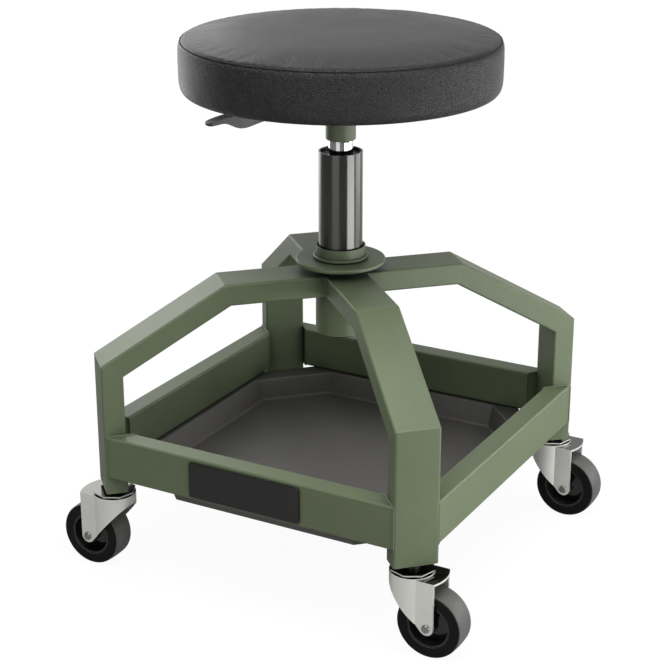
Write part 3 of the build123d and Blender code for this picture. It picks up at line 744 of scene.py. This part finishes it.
def swollen(piece):
    """Blow the pad up with cloth pressure, holding its seam and its flat foot on the board."""
    spots = np.array([v.co for v in piece.data.vertices])
    held = (from_seam(spots)[1] < seam_hold) | (spots[:, 2] < foot_height)
    piece.vertex_groups.new(name="held").add(np.flatnonzero(held).tolist(), 1, "REPLACE")
    cloth = piece.modifiers.new("swell", "CLOTH")
    cloth.settings.quality = cloth_quality
    cloth.settings.mass = skin_mass
    cloth.settings.tension_stiffness = skin_stiffness
    cloth.settings.compression_stiffness = skin_stiffness
    cloth.settings.bending_stiffness = skin_bending
    cloth.settings.use_pressure = True
    cloth.settings.uniform_pressure_force = swell_pressure
    cloth.settings.vertex_group_mass = "held"
    cloth.settings.effector_weights.gravity = 0
    for step in range(1, swell_steps + 1):
        bpy.context.scene.frame_set(step)
    after = piece.evaluated_get(bpy.context.evaluated_depsgraph_get()).data
    moved = np.array([v.co for v in after.vertices]) - spots
    length = np.linalg.norm(moved, axis=1, keepdims=True)
    moved *= np.minimum(1, swell_cap / np.maximum(length, 1e-9))
    piece.modifiers.remove(cloth)
    piece.vertex_groups.clear()
    bpy.context.scene.frame_set(1)
    return spots + moved


def creased(spots):
    """Draw the skin in along the seam: a narrow valley, deepest on the seam's own circle."""
    out, away = from_seam(spots)
    pull = seam_pull * np.exp(-(away / seam_pull_reach) ** 2)
    spots[:, :2] *= (1 - pull / np.maximum(out, 0.001))[:, None]
    spots[:, 2] -= pull
    return spots


def remeshed(piece, edge):
    """Rebuild the piece's mesh from even voxels of this edge."""
    rebuild = piece.modifiers.new("voxels", "REMESH")
    rebuild.mode = "VOXEL"
    rebuild.voxel_size = edge
    evaluated = piece.evaluated_get(bpy.context.evaluated_depsgraph_get())
    even = bpy.data.meshes.new_from_object(evaluated)
    piece.modifiers.remove(rebuild)
    piece.data = even


vinyl = grained_vinyl()
cushion = new_piece("seat_cushion", turned_shell(*cushion_profile.T, cushion_around), vinyl,
                    "seat")
remeshed(cushion, voxel)
cushion.data.vertices.foreach_set("co", creased(swollen(cushion)).ravel())
cushion.data.polygons.foreach_set("use_smooth", [True] * len(cushion.data.polygons))
smooth = cushion.modifiers.new("smooth", "SUBSURF")
smooth.levels = smooth.render_levels = 1
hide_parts("seat_cover", "seat_foam")

# The seam's thread, which shows as a thin dark line between the top panel and the side band; the
# line is partly the thread and partly painted shade, standing in for the shade deep in the seam. It
# lies in the seam's valley, swells with each stitch and wanders in and out a little.
thread_radius = 0.0006
thread_steps = 400
thread_pitch = 0.004
thread_inset = 0.0008
thread_drop = 0.0006
thread_wander = 0.0002
thread_waves = 61


def seam_thread():
    """The seam's circle drawn in by the inset, with a sine that moves it in and out."""
    turn = np.arange(thread_steps) * 2 * pi / thread_steps
    out = seam_radius - thread_inset + thread_wander * np.sin(thread_waves * turn)
    level = np.array([0, 0, seam_height - thread_drop])
    return bead_along(ring_path(1, 0, thread_steps) * out[:, None] + level, thread_radius,
                      thread_pitch)


thread_and_seam_shade = finish_of("thread_and_seam_shade", (20, 20, 20), 0.8, (3000, 0.00005), (60, 0.1))
new_piece("seat_seam", seam_thread(), thread_and_seam_shade, "seat")

# The vinyl's hem, turned under the board, cut by hand and gathered in small pleats, with the
# staples that hold it.
hem_outer = 0.1610
hem_inner = 0.1440
hem_low = 0.5465
hem_top = 0.5477
hem_steps = 512
hem_sides = 28
hem_squareness = 0.3
hem_uneven = 0.0003
hem_waves = range(3, 12)
hem_seed = 7
pleats = 64
pleat_height = 0.00035
pleat_wander = 0.6
staples = 44
staple_circle = 0.1510
staple_radius = 0.0006
staple_half = 0.005
staple_steps = 9
staple_sides = 6


def squared(wave):
    """A sine or cosine pushed towards 1 and -1, so that a round section turns nearly square."""
    return np.sign(wave) * np.abs(wave) ** hem_squareness


def hem_ring():
    """A thin ring with a nearly square section. Its width wanders by a sum of slow sines, and its
    lower face rises with the pleats, more towards its inner edge."""
    turn = np.arange(hem_steps)[:, None] * 2 * pi / hem_steps
    phase = np.arange(hem_sides)[None, :] * 2 * pi / hem_sides
    chance = np.random.default_rng(hem_seed)
    uneven = sum(chance.uniform(-1, 1) * np.sin(waves * turn + chance.uniform(0, 2 * pi))
                 for waves in hem_waves)
    width = (hem_outer - hem_inner) / 2 + hem_uneven * uneven
    out = hem_outer - width + width * squared(np.cos(phase))
    inward = np.clip((hem_outer - out) / (hem_outer - hem_inner), 0, 1)
    half = (hem_top - hem_low) / 2
    gathered = 1 + np.sin(pleats * turn + pleat_wander * uneven)
    wave = pleat_height * inward * gathered * (phase > pi)
    level = hem_top - half + half * squared(np.sin(phase)) + wave
    return closed_grid(out * np.cos(turn), out * np.sin(turn), level)


def staple(turn):
    """The crown of one staple: a short round-ended wire lying square to the radius."""
    along = np.linspace(-1, 1, staple_steps)
    places, faces = turned_shell(staple_radius * blunt(along), along * staple_half, staple_sides)
    x, y = turned_about_axis(places[:, 0] + staple_circle, places[:, 2], turn)
    return np.stack([x, y, places[:, 1] + hem_low], axis=1), faces


new_piece("seat_hem", hem_ring(), vinyl, "seat")
staple_row = joined([staple(2 * pi * place / staples) for place in range(staples)])
new_piece("hem_staples", staple_row, zinc_steel, "seat")

# The casters: chromed forks, pressed with satin sides and a polished crown coloured dark grey as a
# painted reflection, dark plated stems, glossy black nylon wheels, and rubber tyres moulded on
# them, scuffed grey where they roll. Fork and tyre edges are painted lighter, partly wear and
# partly painted highlight.
satin_metallic = 0.55
satin_roughness = 0.3
polished_roughness = 0.1
crown_painted_reflection = (112, 112, 109)
crown_turn = (0.3, 0.9)
sidewall_black = (9, 9, 9)
sidewall_turn = (0.45, 0.9)
wheel_axle = (0, 1, 0)


def satin_sides(material):
    """Polished where a face looks up or down, coloured dark grey there as a painted reflection;
    satin where it stands upright.
    """
    level = recoloured(material, upward, crown_turn, crown_painted_reflection)
    tree = material.node_tree
    shader = tree.nodes["Principled BSDF"].inputs
    fed(tree, shader["Metallic"], ranged(tree, level, satin_metallic, 1))
    fed(tree, shader["Roughness"], ranged(tree, level, satin_roughness, polished_roughness))


fork_chrome = finish_of("fork_chrome", (246, 245, 239), 0.12, (260, 0.000008), (50, 0.03),
                        wear_and_highlight=(0.0008, (246, 246, 243), 0.4))
cap_chrome = finish_of("cap_chrome", (226, 226, 222), 0.12, (260, 0.000008), (50, 0.03))
satin_sides(fork_chrome)
satin_sides(cap_chrome)
stem_plated = finish_of("stem_plated", (84, 84, 82), 0.34, (1600, 0.000008), (90, 0.10),
                        metallic=1)
wheel_plastic = finish_of("wheel_plastic", (20, 20, 20), 0.16, (300, 0.000008), (60, 0.10),
                          coat=0.3)
tyre_rubber = finish_of("tyre_rubber", (92, 91, 89), 0.42, (1400, 0.00003), (45, 0.14),
                        specular=0.2, wear_and_highlight=(0.0015, (106, 105, 103), 0.4))
recoloured(tyre_rubber, wheel_axle, sidewall_turn, sidewall_black)
dress(fork_chrome, "fork")
dress(cap_chrome, "raceway_caps")
dress(stem_plated, "caster_stems")
dress(wheel_plastic, "wheel_hub")
dress(tyre_rubber, "tyre")
